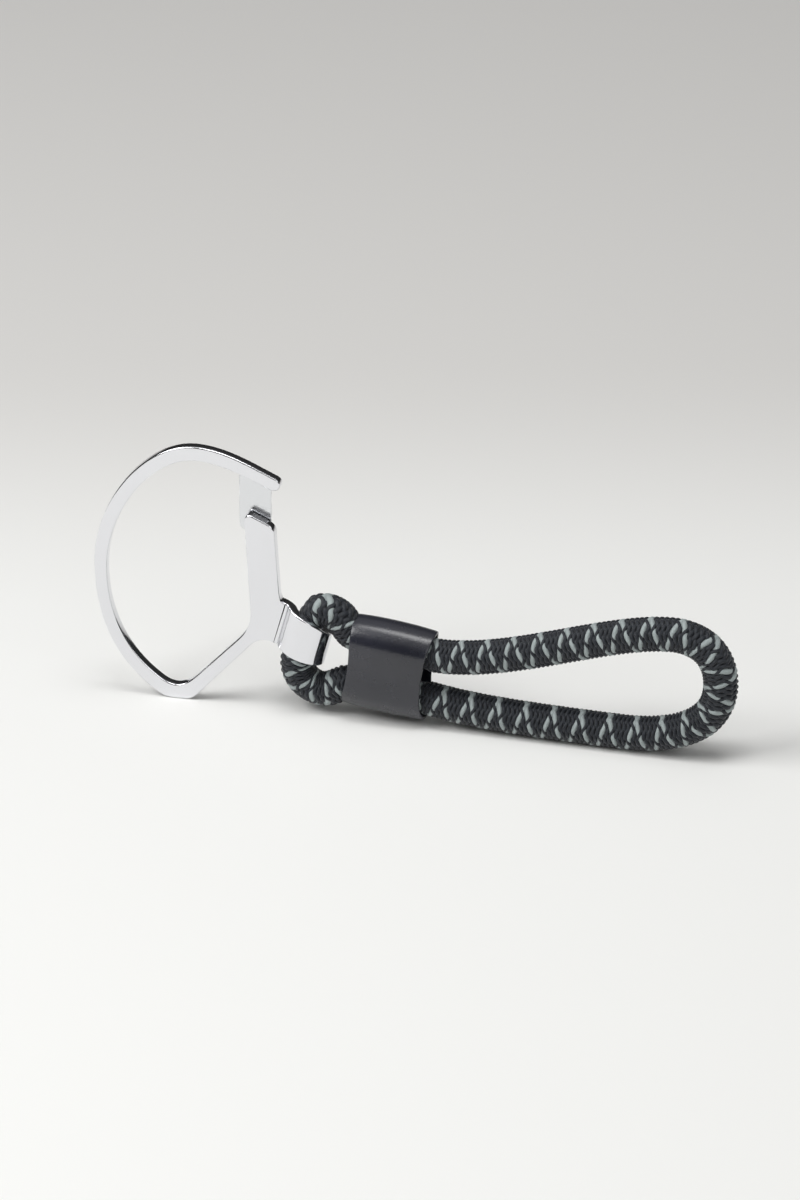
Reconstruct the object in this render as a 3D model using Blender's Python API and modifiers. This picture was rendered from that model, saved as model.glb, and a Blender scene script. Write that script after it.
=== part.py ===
"""Key organiser: polished steel ring with a cord eye, spring leaf gate, braided cord loop, sleeve.

Frame used while building (millimetres, scaled to metres): X to the right along the flat of the ring,
Y away from the viewer, +Z up, the lowest point of the ring's foot at Z = 0.  At the end everything
hangs on one empty, which is moved so that the middle of the object's footprint is the origin.
"""
import math

import bmesh
import bpy
from mathutils import Matrix, Vector

MM = 0.001

# ---------------------------------------------------------------- steel frame
PLATE_T = 1.9            # thickness of the ring, the leg, the post and the curled tab
EDGE_R = 0.28            # rounding of the plate's long edges
OUTLINE_STEP = 0.85      # length of one straight bit of a curved outline
BEND_STEP = 0.5          # the same where an outline turns tightly
CORNER_STEP = 0.35
POST_TOP_L, POST_TOP_R = (12.1, 36.2), (17.6, 34.7)
ROUND_CORNER = 0.58      # share of the way to the apex at which a rounded corner's handles lie
WELD = 0.02              # points of a curve's cap closer than this are one

# ---------------------------------------------------------------- cord eye, a tab curled round the cord
EYE_X, EYE_Y, EYE_Z = 22.7, 1.3, 15.0    # a point of the eye's axis, a little behind the plate
EYE_LEAN = 15.3              # lean of the axis to the right, degrees
EYE_R = 4.7                  # outside radius of the curl
CREASE_R = 0.4               # inside radius of the bend where the tab leaves the plate
CREASE_BACK = 0.1            # the plate ends this far before the bend begins
TAB_ROOT = (0.9, 0.25)       # the tab's root runs back into the plate by this much
TAB_ROOT_THIN = 0.03         # and is a hair thinner there, so that it ends inside the plate
CURL_END = 142.0             # the curl stops here, behind the cord (0 = right, 90 = back)
RIM_TOP_AT, RIM_TOP_SLOPE = (24.1, 19.0), -25.0      # edges of the tab, seen from the front
RIM_LOW_AT, RIM_LOW_SLOPE = (22.0, 11.2), -22.0
RIM_TOP_SIDE, RIM_LOW_SIDE = 1.4, -4.9    # heights of the rims along the axis at the right side
RIM_TOP_END, RIM_LOW_END = 1.0, -4.6      # and at the free end of the curl
RIM_EASE = 0.55              # share of an S-shaped change in the rims' way round the side
BEND_SECTIONS, CURL_SECTIONS, EDGE_STEPS = 4, 46, 3

# ---------------------------------------------------------------- spring leaf
LEAF_T = 0.5
LEAF_GAP = 0.3               # air between the leaf and the back of the plate
LEAF_EDGE_R = 0.08
LEAF_LEFT, LEAF_RIGHT = 10.7, 16.5
LEAF_TOP = 44.8
LEAF_CORNER = 1.0
LEAF_SHOULDER = 35.2         # below this height the leaf narrows
LEAF_BEND = 32.2             # height of its bending line
LEAF_SPLIT = 0.3             # air between the moving and the fixed part at the bending line
LEAF_NECK = 1.4              # height over which the leaf widens above the bending line
LEAF_LOW = 21.5
LEAF_ROOT_W = 4.2
LEAF_OFF = 1.3               # the root sits further right than the tip, hidden by the post
RIVET_Z = (29.3, 24.6)
RIVET_R, RIVET_HEAD_R, RIVET_HEAD_H = 0.75, 1.25, 0.5
RIVET_FOOT = -0.4            # the shank ends here in the plate
RIVET_CHAMFER = 0.1
RIVET_SEAT = 0.1             # air under the head
HOLE_ROOM = 0.1              # the hole is this much wider than the shank, all round
HOLE_FROM, HOLE_TO = -0.6, 4.0

# ---------------------------------------------------------------- cord
CORD_R = 3.1
SHEATH_T = 0.9
SHEATH_SIDES = 14
YARN_RING, YARN_R, YARN_COUNT = 1.3, 0.5, 6
YARN_SHORT = 0.3             # the yarns stop this far inside the sheath's cut ends
SQUEEZED = 0.74              # in the sleeve and the eye the cord is squeezed to this part of its height
SQUEEZED_Y = 0.86            # and to this part of its width
SQUEEZE_LEFT, SQUEEZE_RIGHT, SQUEEZE_FADE = 2.4, 0.6, 1.6     # how far past the sleeve, and the fade
EYE_REACH_UP, EYE_REACH_DOWN, EYE_FADE = 6.0, 6.6, 2.2        # the same along the cord at the eye
REST_SWING = -2.2            # the loop stands turned towards the viewer about the eye, degrees
TURN_TOP_H, TURN_TOP_R = 2.0, 3.55        # the small loop's bends start here along the eye's axis
TURN_LOW_H, TURN_LOW_R = -5.2, 4.6
TURN_IN, TURN_OUT = 36.0, 286.0           # where the cord joins and leaves the small loop's bends
HANDLE_IN, HANDLE_OUT = 2.1, 1.4          # how far it runs on straight there
CORD_STEP, TURN_STEP, TURN_POINTS = 1.7, 1.0, 9

# waypoints of the long loop, before it is turned (X, Z)
LOW_1, LOW_2, LOW_3 = (50.0, 3.4), (62.0, 3.12), (80.5, 3.12)
LOW_4, END_1, END_2 = (91.3, 3.12), (98.5, 7.0), (98.5, 14.6)
END_3, TOP_1, TOP_2 = (98.5, 20.2), (95.0, 23.6), (88.8, 23.15)
TOP_3, TOP_4 = (75.9, 22.2), (57.0, 11.4)

# ---------------------------------------------------------------- sleeve
SLEEVE_X, SLEEVE_Z = 38.2, 10.15     # centre, before the loop is turned
SLEEVE_LEN = 15.7
SLEEVE_TILT = -6.2
SLEEVE_H, SLEEVE_W = 17.5, 8.8       # at the middle of its length
LEATHER_T = 0.85
SLEEVE_PINCH = 0.04          # share by which it is smaller at its ends
SLEEVE_SKIVE = 0.45          # the leather is thinned towards its ends
SLEEVE_DISH = 1.1            # how far the middle of each end lies back
SLEEVE_SLANT = 0.5           # the upper corner of its left end is cut back by this
SLEEVE_LIP = 0.25            # rounding of the leather's rims
STRAND_OFF = 4.1             # each strand's distance from the sleeve's axis
STRAND_IN = 4.8              # the strands lie straight this far to each side of the sleeve's middle
STRAND_LEAD_UP, STRAND_LEAD_LOW = 7.1, 7.2
CUT_AT, CUT_GAP = -0.8, 0.7  # where the two ends of the cord meet, on the upper strand
FERRULE_LEN, FERRULE_T, FERRULE_GAP = 9.0, 0.35, 0.25
THREAD_R = 0.3
THREAD_GAP = 0.3
STITCHES, STITCH_RISE, SEAM_SHORT = 5, 0.9, 2.4
STITCH_TURN = 0.72           # share of a stitch that is straight before the thread turns back

# ---------------------------------------------------------------- materials: colour, roughness, metallic
POLISHED_STEEL = ((0.86, 0.87, 0.88), 0.10, 1.0)
SPRING_STEEL = ((0.78, 0.79, 0.81), 0.20, 1.0)
RIVET_STEEL = ((0.72, 0.73, 0.75), 0.25, 1.0)
FERRULE_STEEL = ((0.50, 0.51, 0.53), 0.35, 1.0)
BRAID = ((0.045, 0.050, 0.055), 0.75, 0.0)
CORE_YARN = ((0.60, 0.60, 0.57), 0.85, 0.0)
LEATHER = ((0.028, 0.027, 0.033), 0.42, 0.0)
THREAD = ((0.02, 0.02, 0.022), 0.55, 0.0)


def clear():
    for ob in list(bpy.data.objects):
        bpy.data.objects.remove(ob, do_unlink=True)


def new_collection(name):
    made = bpy.data.collections.new(name)
    bpy.context.scene.collection.children.link(made)
    return made


def link(name, data, where):
    ob = bpy.data.objects.new(name, data)
    where.objects.link(ob)
    return ob


def dress(ob, look):
    """Give the object a material of its own."""
    colour, roughness, metallic = look
    mat = bpy.data.materials.new(ob.name)
    mat.use_nodes = True
    shader = mat.node_tree.nodes['Principled BSDF']
    shader.inputs['Base Color'].default_value = (*colour, 1.0)
    shader.inputs['Roughness'].default_value = roughness
    shader.inputs['Metallic'].default_value = metallic
    ob.data.materials.clear()
    ob.data.materials.append(mat)
    ob.data.shade_smooth()
    ob.data.set_sharp_from_angle(angle=math.radians(40))


def add_mesh(name, verts, faces, where):
    """A mesh for the lofts below, whose sections change shape along their way."""
    me = bpy.data.meshes.new(name)
    me.from_pydata([tuple(c * MM for c in v) for v in verts], [], faces)
    bm = bmesh.new()
    bm.from_mesh(me)
    bmesh.ops.recalc_face_normals(bm, faces=bm.faces)
    bm.to_mesh(me)
    bm.free()
    return link(name, me, where)


def evaluated_mesh(ob):
    dg = bpy.context.evaluated_depsgraph_get()
    return bpy.data.meshes.new_from_object(ob.evaluated_get(dg), depsgraph=dg)


def curve_to_mesh(ob, where, flat=False):
    """The curve's solid as a mesh with its caps welded; the curve is removed.

    The two faces of a flat plate are made one polygon each.
    """
    name, matrix = ob.name, ob.matrix_world.copy()
    me = evaluated_mesh(ob)
    bpy.data.objects.remove(ob, do_unlink=True)
    bm = bmesh.new()
    bm.from_mesh(me)
    bmesh.ops.remove_doubles(bm, verts=bm.verts, dist=WELD * MM)
    if flat:
        bmesh.ops.dissolve_limit(bm, angle_limit=math.radians(0.1), verts=[], edges=bm.edges)
    bmesh.ops.recalc_face_normals(bm, faces=bm.faces)
    bm.to_mesh(me)
    bm.free()
    made = link(name, me, where)
    made.matrix_world = matrix
    return made


# ================================================================ 2-D outlines
def bezier(a, b, c, d, step=OUTLINE_STEP):
    """Points of a cubic curve from a up to, but without, d."""
    a, b, c, d = (Vector(p) for p in (a, b, c, d))
    rough = (b - a).length + (c - b).length + (d - c).length
    n = max(3, int(round(rough / step)))
    out = []
    for i in range(n):
        t = i / n
        s = 1.0 - t
        out.append(a * s ** 3 + b * 3 * s * s * t + c * 3 * s * t * t + d * t ** 3)
    return [(p.x, p.y) for p in out]


def corner(a, apex, d):
    """A rounded corner from a to d whose two sides meet at apex."""
    a, apex, d = Vector(a), Vector(apex), Vector(d)
    return bezier(a, a.lerp(apex, ROUND_CORNER), d.lerp(apex, ROUND_CORNER), d, CORNER_STEP)


def line(a, b, pieces=1):
    a, b = Vector(a), Vector(b)
    return [tuple(a.lerp(b, i / pieces)) for i in range(pieces)]


def plate(name, outline, y0, y1, edge, edge_segments, where):
    """A flat plate cut to an X-Z outline, from y0 to y1, with rounded edges."""
    data = bpy.data.curves.new(name, 'CURVE')
    data.dimensions = '2D'
    data.fill_mode = 'BOTH'
    data.extrude = 0.5 * (y1 - y0) * MM
    spline = data.splines.new('POLY')
    spline.points.add(len(outline) - 1)
    for point, (x, z) in zip(spline.points, outline):
        point.co = (x * MM, z * MM, 0.0, 1.0)
    spline.use_cyclic_u = True
    ob = link(name, data, where)
    ob.matrix_world = (Matrix.Translation((0.0, 0.5 * (y0 + y1) * MM, 0.0))
                       @ Matrix.Rotation(math.radians(90.0), 4, 'X'))
    ob = curve_to_mesh(ob, where, flat=True)
    ob.data.transform(ob.matrix_world)
    ob.matrix_world = Matrix.Identity(4)
    mod = ob.modifiers.new('edge', 'BEVEL')
    mod.width = edge * MM
    mod.segments = edge_segments
    mod.limit_method = 'ANGLE'
    mod.angle_limit = math.radians(60)
    apply_modifiers(ob)
    return ob


def frame_outline():
    """Outer side from the free end over the top to the foot, the leg, the post, then the inside."""
    top, left, tip, heel = (3.2, 49.8), (-15.5, 25.2), (17.8, 45.2), (-4.6, 1.2)
    low, high = tab_corner(False), tab_corner(True)
    pts = bezier(tip, (13.5, 47.1), (8.6, 49.8), top)
    pts += bezier(top, (-5.8, 49.8), (-15.5, 37.4), left)
    pts += bezier(left, (-15.5, 14.0), (-11.7, 6.4), heel)
    pts += bezier(heel, (-3.4, 0.32), (-2.6, 0.0), (-1.2, 0.0), BEND_STEP)
    pts += line((-1.2, 0.0), (0.9, 0.0))
    pts += bezier((0.9, 0.0), (2.0, 0.0), (2.7, 0.6), (3.6, 1.6), BEND_STEP)
    # under the leg and out to the crease of the tab
    pts += line((3.6, 1.6), (12.8, 11.8), 3)
    pts += bezier((12.8, 11.8), (13.9, 13.0), (15.2, 13.9), low, BEND_STEP)
    pts += line(low, high, 3)
    # inside corner beside the post, right edge of the post, its sloping top
    pts += bezier(high, (18.7, 21.0), (18.4, 21.9), (18.3, 23.6), BEND_STEP)
    pts += line((18.3, 23.6), POST_TOP_R, 3)
    pts += corner(POST_TOP_R, (17.5, 35.7), (16.6, 36.1))
    pts += line((16.6, 36.1), (13.5, 37.5), 2)
    pts += corner((13.5, 37.5), (12.1, 38.1), POST_TOP_L)
    # inside: left edge of the post, leg, foot, left side, top, free end
    pts += line(POST_TOP_L, (13.1, 18.9), 4)
    pts += bezier((13.1, 18.9), (13.2, 16.2), (12.4, 14.7), (10.5, 12.7), BEND_STEP)
    pts += line((10.5, 12.7), (3.0, 4.8), 3)
    pts += bezier((3.0, 4.8), (0.5, 2.15), (-1.5, 2.3), (-3.4, 3.7), BEND_STEP)
    pts += bezier((-3.4, 3.7), (-9.3, 7.9), (-13.3, 14.7), (-13.2, 24.4))
    pts += bezier((-13.2, 24.4), (-13.2, 35.5), (-4.6, 47.1), (3.4, 47.1))
    pts += bezier((3.4, 47.1), (7.7, 47.1), (12.4, 45.0), (16.9, 43.0))
    pts += bezier((16.9, 43.0), (18.5, 42.3), (19.5, 44.5), tip, CORNER_STEP)
    return pts


# ================================================================ the eye
def eye_axis():
    a = math.radians(EYE_LEAN)
    return Vector((math.sin(a), 0.0, math.cos(a)))


def eye_across():
    a = math.radians(EYE_LEAN)
    return Vector((math.cos(a), 0.0, -math.sin(a)))


def rim_height(across, top):
    """Height along the eye's axis of a straight tab edge, across mm to the right of the axis."""
    at, slope = (RIM_TOP_AT, RIM_TOP_SLOPE) if top else (RIM_LOW_AT, RIM_LOW_SLOPE)
    a = math.radians(slope)
    normal = Vector((-math.sin(a), 0.0, math.cos(a)))
    p = Vector((EYE_X, 0.0, EYE_Z)) + eye_across() * across
    return (Vector((at[0], 0.0, at[1])) - p).dot(normal) / eye_axis().dot(normal)


def bend_centre():
    """Centre (across, y) of the bend that turns the tab out of the plate."""
    mid, r = EYE_R - PLATE_T / 2, CREASE_R + PLATE_T / 2
    return (-math.sqrt((mid + r) ** 2 - (EYE_Y + r) ** 2), -r)


def tab_corner(top):
    """Where an edge of the tab meets the crease, in X-Z."""
    across = bend_centre()[0] - CREASE_BACK
    p = Vector((EYE_X, 0.0, EYE_Z)) + eye_across() * across + eye_axis() * rim_height(across, top)
    return (p.x, p.z)


def tab_path():
    """Middle line of the tab as (across, y, normal angle, stage); the normal points outwards.

    The stage is negative in the plate, 0 in front, goes to 1 at the right side and on to 2.
    """
    cx, cy = bend_centre()
    r = CREASE_R + PLATE_T / 2
    turn = math.atan2(EYE_Y - cy, -cx)            # from the bend's centre towards the eye's axis
    quarter = math.radians(90.0)
    out = [(cx - back, 0.0, -90.0, -1.0) for back in TAB_ROOT]
    for i in range(BEND_SECTIONS + 1):
        a = quarter + (turn - quarter) * i / BEND_SECTIONS
        out.append((cx + r * math.cos(a), cy + r * math.sin(a), math.degrees(a) - 180.0, 0.0))
    start = math.degrees(turn) - 180.0
    mid = EYE_R - PLATE_T / 2
    for i in range(1, CURL_SECTIONS + 1):
        d = start + (CURL_END - start) * i / CURL_SECTIONS
        a = math.radians(d)
        stage = 0.0
        if d > -90.0:
            stage = min(1.0, (d + 90.0) / 90.0)
        if d > 0.0:
            stage = 1.0 + d / CURL_END
        out.append((mid * math.cos(a), EYE_Y + mid * math.sin(a), d, stage))
    return out


def edge_height(across, stage, top):
    """The tab's edges are straight in front and then run round the side to the free end."""
    side, end = (RIM_TOP_SIDE, RIM_TOP_END) if top else (RIM_LOW_SIDE, RIM_LOW_END)
    front = rim_height(min(across, 0.0) if stage > 0 else across, top)
    if stage <= 0.0:
        return front
    if stage <= 1.0:
        k = (1.0 - RIM_EASE) * stage + RIM_EASE * eased(stage)
        return front + (side - front) * k
    return side + (end - side) * (stage - 1.0)


def tab_section(across, y, normal, stage):
    """The rounded outline of the tab where it is cut across its way round the eye."""
    a = math.radians(normal)
    thin = TAB_ROOT_THIN if stage < 0 else 0.0
    out = []
    for top, front in ((True, True), (True, False), (False, False), (False, True)):
        for k in range(EDGE_STEPS + 1):
            t = 0.5 * math.pi * (k / EDGE_STEPS if top == front else 1.0 - k / EDGE_STEPS)
            off = (PLATE_T / 2 - thin - EDGE_R * (1 - math.cos(t))) * (1 if front else -1)
            drop = EDGE_R * (1 - math.sin(t)) + thin
            u, v = across + off * math.cos(a), y + off * math.sin(a)
            h = edge_height(u, stage, top) + (-drop if top else drop)
            p = Vector((EYE_X, 0.0, EYE_Z)) + eye_across() * u + eye_axis() * h
            out.append((p.x, v, p.z))
    return out


def loft(name, sections, where, closed=False):
    """A skin over sections with equal numbers of points, capped at both ends unless closed."""
    m = len(sections[0])
    verts = [p for section in sections for p in section]
    faces = []
    for k in range(len(sections) if closed else len(sections) - 1):
        a, b = k * m, (k + 1) % len(sections) * m
        faces += [(a + i, a + (i + 1) % m, b + (i + 1) % m, b + i) for i in range(m)]
    if not closed:
        faces.append(tuple(range(m)))
        faces.append(tuple(range(len(verts) - 1, len(verts) - m - 1, -1)))
    return add_mesh(name, verts, faces, where)


def apply_modifiers(ob):
    me = evaluated_mesh(ob)
    ob.modifiers.clear()
    ob.data = me


def join_with(ob, other, operation):
    mod = ob.modifiers.new(operation.lower(), 'BOOLEAN')
    mod.operation = operation
    mod.solver = 'EXACT'
    mod.object = other
    apply_modifiers(ob)


def build_frame(parts, cutters):
    ob = plate('ring_frame', frame_outline(), -PLATE_T / 2, PLATE_T / 2, EDGE_R, 3, parts)
    tab = loft('eye_tab', [tab_section(*place) for place in tab_path()], cutters)
    join_with(ob, tab, 'UNION')
    bpy.data.objects.remove(tab, do_unlink=True)
    return ob


# ================================================================ leaf and rivets
def leaf_middle():
    return 0.5 * (LEAF_LEFT + LEAF_RIGHT)


def tip_outline():
    """The moving part of the leaf: a narrow neck that widens to the broad tip."""
    mid, half = leaf_middle(), 0.5 * (LEAF_RIGHT - LEAF_LEFT)
    a, b = mid + LEAF_OFF - 0.5 * LEAF_ROOT_W, mid + LEAF_OFF + 0.5 * LEAF_ROOT_W
    low, neck, r = LEAF_BEND + 0.5 * LEAF_SPLIT, LEAF_BEND + LEAF_NECK, LEAF_CORNER
    left, right = mid - half, mid + half
    pts = line((a, low), (b, low))
    pts += bezier((b, low), (b, neck), (right, neck), (right, LEAF_SHOULDER), BEND_STEP)
    pts += line((right, LEAF_SHOULDER), (right, LEAF_TOP - r), 2)
    pts += corner((right, LEAF_TOP - r), (right, LEAF_TOP), (right - r, LEAF_TOP))
    pts += line((right - r, LEAF_TOP), (left + r, LEAF_TOP))
    pts += corner((left + r, LEAF_TOP), (left, LEAF_TOP), (left, LEAF_TOP - r))
    pts += line((left, LEAF_TOP - r), (left, LEAF_SHOULDER), 2)
    pts += bezier((left, LEAF_SHOULDER), (left, neck), (a, neck), (a, low), BEND_STEP)
    return pts


def root_outline():
    """The fixed part of the leaf, with a round lower end."""
    mid, r = leaf_middle() + LEAF_OFF, 0.5 * LEAF_ROOT_W
    a, b, high, low = mid - r, mid + r, LEAF_BEND - 0.5 * LEAF_SPLIT, LEAF_LOW + r
    pts = line((b, high), (a, high))
    pts += line((a, high), (a, low), 2)
    pts += [(mid - r * math.cos(math.radians(t)), low - r * math.sin(math.radians(t)))
            for t in range(0, 180, 15)]
    pts += line((b, low), (b, high), 2)
    return pts


def rivet_places():
    return [(leaf_middle() + LEAF_OFF, z) for z in RIVET_Z]


def build_rivet(name, x, z, seat, parts):
    """A turned rivet: its profile, screwed round the Y axis."""
    top = seat + RIVET_HEAD_H
    profile = [(0.0, top), (0.45 * RIVET_HEAD_R, top), (0.8 * RIVET_HEAD_R, seat + 0.85 * RIVET_HEAD_H),
               (0.97 * RIVET_HEAD_R, seat + 0.5 * RIVET_HEAD_H), (RIVET_HEAD_R, seat), (RIVET_R, seat),
               (RIVET_R, RIVET_FOOT + RIVET_CHAMFER), (RIVET_R - RIVET_CHAMFER, RIVET_FOOT),
               (0.0, RIVET_FOOT)]
    me = bpy.data.meshes.new(name)
    me.from_pydata([(r * MM, 0.0, h * MM) for r, h in profile],
                   [(i, i + 1) for i in range(len(profile) - 1)], [])
    ob = link(name, me, parts)
    mod = ob.modifiers.new('turned', 'SCREW')
    mod.axis = 'Z'
    mod.steps = 24
    mod.render_steps = 24
    mod.use_merge_vertices = True
    mod.merge_threshold = 0.00001
    ob.rotation_euler = (math.radians(-90.0), 0.0, 0.0)     # the head looks away from the viewer
    ob.location = (x * MM, 0.0, z * MM)
    return ob


def drill(name, x, z, targets, cutters):
    """A round hole along Y through each target."""
    bm = bmesh.new()
    r = (RIVET_R + HOLE_ROOM) * MM
    bmesh.ops.create_cone(bm, cap_ends=True, segments=24, radius1=r, radius2=r,
                          depth=(HOLE_TO - HOLE_FROM) * MM)
    me = bpy.data.meshes.new(name)
    bm.to_mesh(me)
    bm.free()
    me.transform(Matrix.Translation((x * MM, 0.5 * (HOLE_FROM + HOLE_TO) * MM, z * MM))
                 @ Matrix.Rotation(math.radians(90.0), 4, 'X'))
    ob = link(name, me, cutters)
    ob.hide_render = True
    ob.display_type = 'WIRE'
    for target in targets:
        join_with(target, ob, 'DIFFERENCE')


def build_leaf(frame, parts, cutters):
    """The leaf's two parts and its rivets; returns the tip and the pieces that stay on the ring."""
    y0 = PLATE_T / 2 + LEAF_GAP
    tip = plate('gate_leaf_tip', tip_outline(), y0, y0 + LEAF_T, LEAF_EDGE_R, 2, parts)
    root = plate('gate_leaf_root', root_outline(), y0, y0 + LEAF_T, LEAF_EDGE_R, 2, parts)
    fixed = [root]
    for (x, z), label in zip(rivet_places(), ('upper', 'lower')):
        drill('rivet_hole_' + label, x, z, (root, frame), cutters)
        fixed.append(build_rivet('leaf_rivet_' + label, x, z, y0 + LEAF_T + RIVET_SEAT, parts))
    return tip, fixed


# ================================================================ cord
def in_sleeve(along, side):
    """A point of the upper (1) or lower (-1) strand inside the sleeve."""
    t = math.radians(SLEEVE_TILT)
    off = side * STRAND_OFF
    return (SLEEVE_X + along * math.cos(t) - off * math.sin(t),
            SLEEVE_Z + along * math.sin(t) + off * math.cos(t))


def turn_about(height, radius):
    """Centre in X-Z of a bend that touches the eye's axis at this height along it."""
    ax, az = eye_axis().x, eye_axis().z
    return (EYE_X + ax * height + az * radius, EYE_Z + az * height - ax * radius)


def on_circle(centre, radius, degrees):
    a = math.radians(degrees)
    return (centre[0] + radius * math.cos(a), centre[1] + radius * math.sin(a))


def moved(point, degrees, distance):
    return on_circle(point, distance, degrees)


def arc(centre, radius, start, end, pieces):
    return [on_circle(centre, radius, start + (end - start) * i / pieces) for i in range(pieces)]


def loop_path():
    """Centre line of the cord in the X-Z plane, from one cut end to the other.

    It starts inside the sleeve on the upper strand, runs left to the small loop, down through the
    eye, back right through the sleeve as the lower strand, round the far end and back.
    """
    top, low = turn_about(TURN_TOP_H, TURN_TOP_R), turn_about(TURN_LOW_H, TURN_LOW_R)
    to_axis = 180.0 - EYE_LEAN                   # direction from a bend's centre to the eye's axis
    turn_in, turn_out = on_circle(top, TURN_TOP_R, TURN_IN), on_circle(low, TURN_LOW_R, TURN_OUT)
    up_a, up_b = in_sleeve(-STRAND_IN, 1), in_sleeve(STRAND_IN, 1)
    low_a, low_b = in_sleeve(-STRAND_IN, -1), in_sleeve(STRAND_IN, -1)
    end = in_sleeve(CUT_AT + CUT_GAP / 2, 1)
    pts = line(in_sleeve(CUT_AT - CUT_GAP / 2, 1), up_a, 3)
    pts += bezier(up_a, in_sleeve(-STRAND_LEAD_UP, 1), moved(turn_in, TURN_IN - 90.0, HANDLE_IN),
                  turn_in, TURN_STEP)
    pts += arc(top, TURN_TOP_R, TURN_IN, to_axis, TURN_POINTS)
    pts += line(on_circle(top, TURN_TOP_R, to_axis), on_circle(low, TURN_LOW_R, to_axis), 7)
    pts += arc(low, TURN_LOW_R, to_axis, TURN_OUT, TURN_POINTS)
    pts += bezier(turn_out, moved(turn_out, TURN_OUT + 90.0, HANDLE_OUT),
                  in_sleeve(-STRAND_LEAD_LOW, -1), low_a, TURN_STEP)
    pts += line(low_a, low_b, 7)
    pts += bezier(low_b, LOW_1, LOW_2, LOW_3, 1.6 * CORD_STEP)
    pts += bezier(LOW_3, LOW_4, END_1, END_2, CORD_STEP)
    pts += bezier(END_2, END_3, TOP_1, TOP_2, CORD_STEP)
    pts += bezier(TOP_2, TOP_3, TOP_4, up_b, 1.4 * CORD_STEP)
    pts += line(up_b, end, 4)
    pts.append(end)
    return pts


def eased(k):
    k = min(1.0, max(0.0, k))
    return k * k * (3 - 2 * k)


def path_sizes(pts):
    """How much of its full height and width the cord has at each point of its path."""
    t = math.radians(SLEEVE_TILT)
    middle = min(range(len(pts)), key=lambda i: math.dist(pts[i], (EYE_X, EYE_Z)))
    run = [0.0]
    for a, b in zip(pts, pts[1:]):
        run.append(run[-1] + math.dist(a, b))
    out = []
    for (x, z), s in zip(pts, run):
        along = (x - SLEEVE_X) * math.cos(t) + (z - SLEEVE_Z) * math.sin(t)
        past = SQUEEZE_LEFT if along < 0 else SQUEEZE_RIGHT
        k = eased((SLEEVE_LEN / 2 + past - abs(along)) / SQUEEZE_FADE)
        from_eye = s - run[middle]             # negative above the middle of the eye
        reach = EYE_REACH_UP if from_eye < 0 else EYE_REACH_DOWN
        k = max(k, eased((reach - abs(from_eye)) / EYE_FADE))
        out.append((1.0 - (1.0 - SQUEEZED) * k, 1.0 - (1.0 - SQUEEZED_Y) * k))
    return out


def path_sides(pts):
    """The direction across the path at each point, in its own plane; the other one is always Y."""
    out = []
    for i in range(len(pts)):
        a, b = pts[max(0, i - 1)], pts[min(len(pts) - 1, i + 1)]
        d = Vector((b[0] - a[0], 0.0, b[1] - a[1])).normalized()
        out.append(Vector((-d.z, 0.0, d.x)))
    return out


def cord_ring(point, side, size, radius, sides):
    """One squeezed round section of the cord, or the places of the yarns in it."""
    f, g = size
    centre, back = Vector((point[0], EYE_Y, point[1])), Vector((0.0, 1.0, 0.0))
    out = []
    for i in range(sides):
        a = 2 * math.pi * i / sides
        out.append(centre + radius * (f * math.cos(a) * side + g * math.sin(a) * back))
    return out


def build_sheath(pts, sizes, parts):
    """The braided pipe: a loft out along the outside and back along the bore."""
    sides = path_sides(pts)
    places = list(zip(pts, sides, sizes))
    outer = [cord_ring(*place, CORD_R, SHEATH_SIDES) for place in places]
    bore = [cord_ring(*place, CORD_R - SHEATH_T, SHEATH_SIDES) for place in places]
    return loft('cord_sheath', outer + bore[::-1], parts, closed=True)


def bevelled_line(name, pts, radius, parts, shares=None):
    """A round wire or yarn through the points, thinner where its share of the radius is under 1."""
    data = bpy.data.curves.new(name, 'CURVE')
    data.dimensions = '3D'
    data.bevel_depth = radius * MM
    data.bevel_resolution = 2
    data.use_fill_caps = True
    spline = data.splines.new('POLY')
    spline.points.add(len(pts) - 1)
    for point, p in zip(spline.points, pts):
        point.co = (p[0] * MM, p[1] * MM, p[2] * MM, 1.0)
    for point, share in zip(spline.points, shares or []):
        point.radius = share
    return curve_to_mesh(link(name, data, parts), parts)


def shortened(pts, cut):
    """The line with both its ends drawn back by cut."""
    first, last = Vector(pts[0]), Vector(pts[-1])
    start = first + (Vector(pts[1]) - first).normalized() * cut
    end = last + (Vector(pts[-2]) - last).normalized() * cut
    return [start] + list(pts[1:-1]) + [end]


def build_yarns(pts, sizes, parts):
    """A straight yarn in the middle of the cord and a ring of yarns round it."""
    sides = path_sides(pts)
    keep = list(range(0, len(pts) - 1, 2)) + [len(pts) - 1]
    shares = [sizes[i][0] for i in keep]
    middle = [(pts[i][0], EYE_Y, pts[i][1]) for i in keep]
    lines = [middle]
    for k in range(YARN_COUNT):
        spot = [cord_ring(pts[i], sides[i], sizes[i], YARN_RING, 2 * YARN_COUNT)[2 * k + 1] for i in keep]
        lines.append(spot)
    return [bevelled_line('core_yarn_%d' % k, shortened(spots, YARN_SHORT), YARN_R, parts, shares)
            for k, spots in enumerate(lines)]


# ================================================================ sleeve
def stadium(half_h, half_w, n=12):
    """Closed outline (across, up) of a flattened tube."""
    c = half_h - half_w
    upper = [on_circle((0.0, c), half_w, 180.0 * i / n) for i in range(n + 1)]
    lower = [on_circle((0.0, -c), half_w, 180.0 + 180.0 * i / n) for i in range(n + 1)]
    return upper + lower


def sleeve_directions():
    """Centre of the sleeve and the directions along it and up across it."""
    t = math.radians(SLEEVE_TILT)
    return (Vector((SLEEVE_X, EYE_Y, SLEEVE_Z)), Vector((math.cos(t), 0.0, math.sin(t))),
            Vector((-math.sin(t), 0.0, math.cos(t))))


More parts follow.
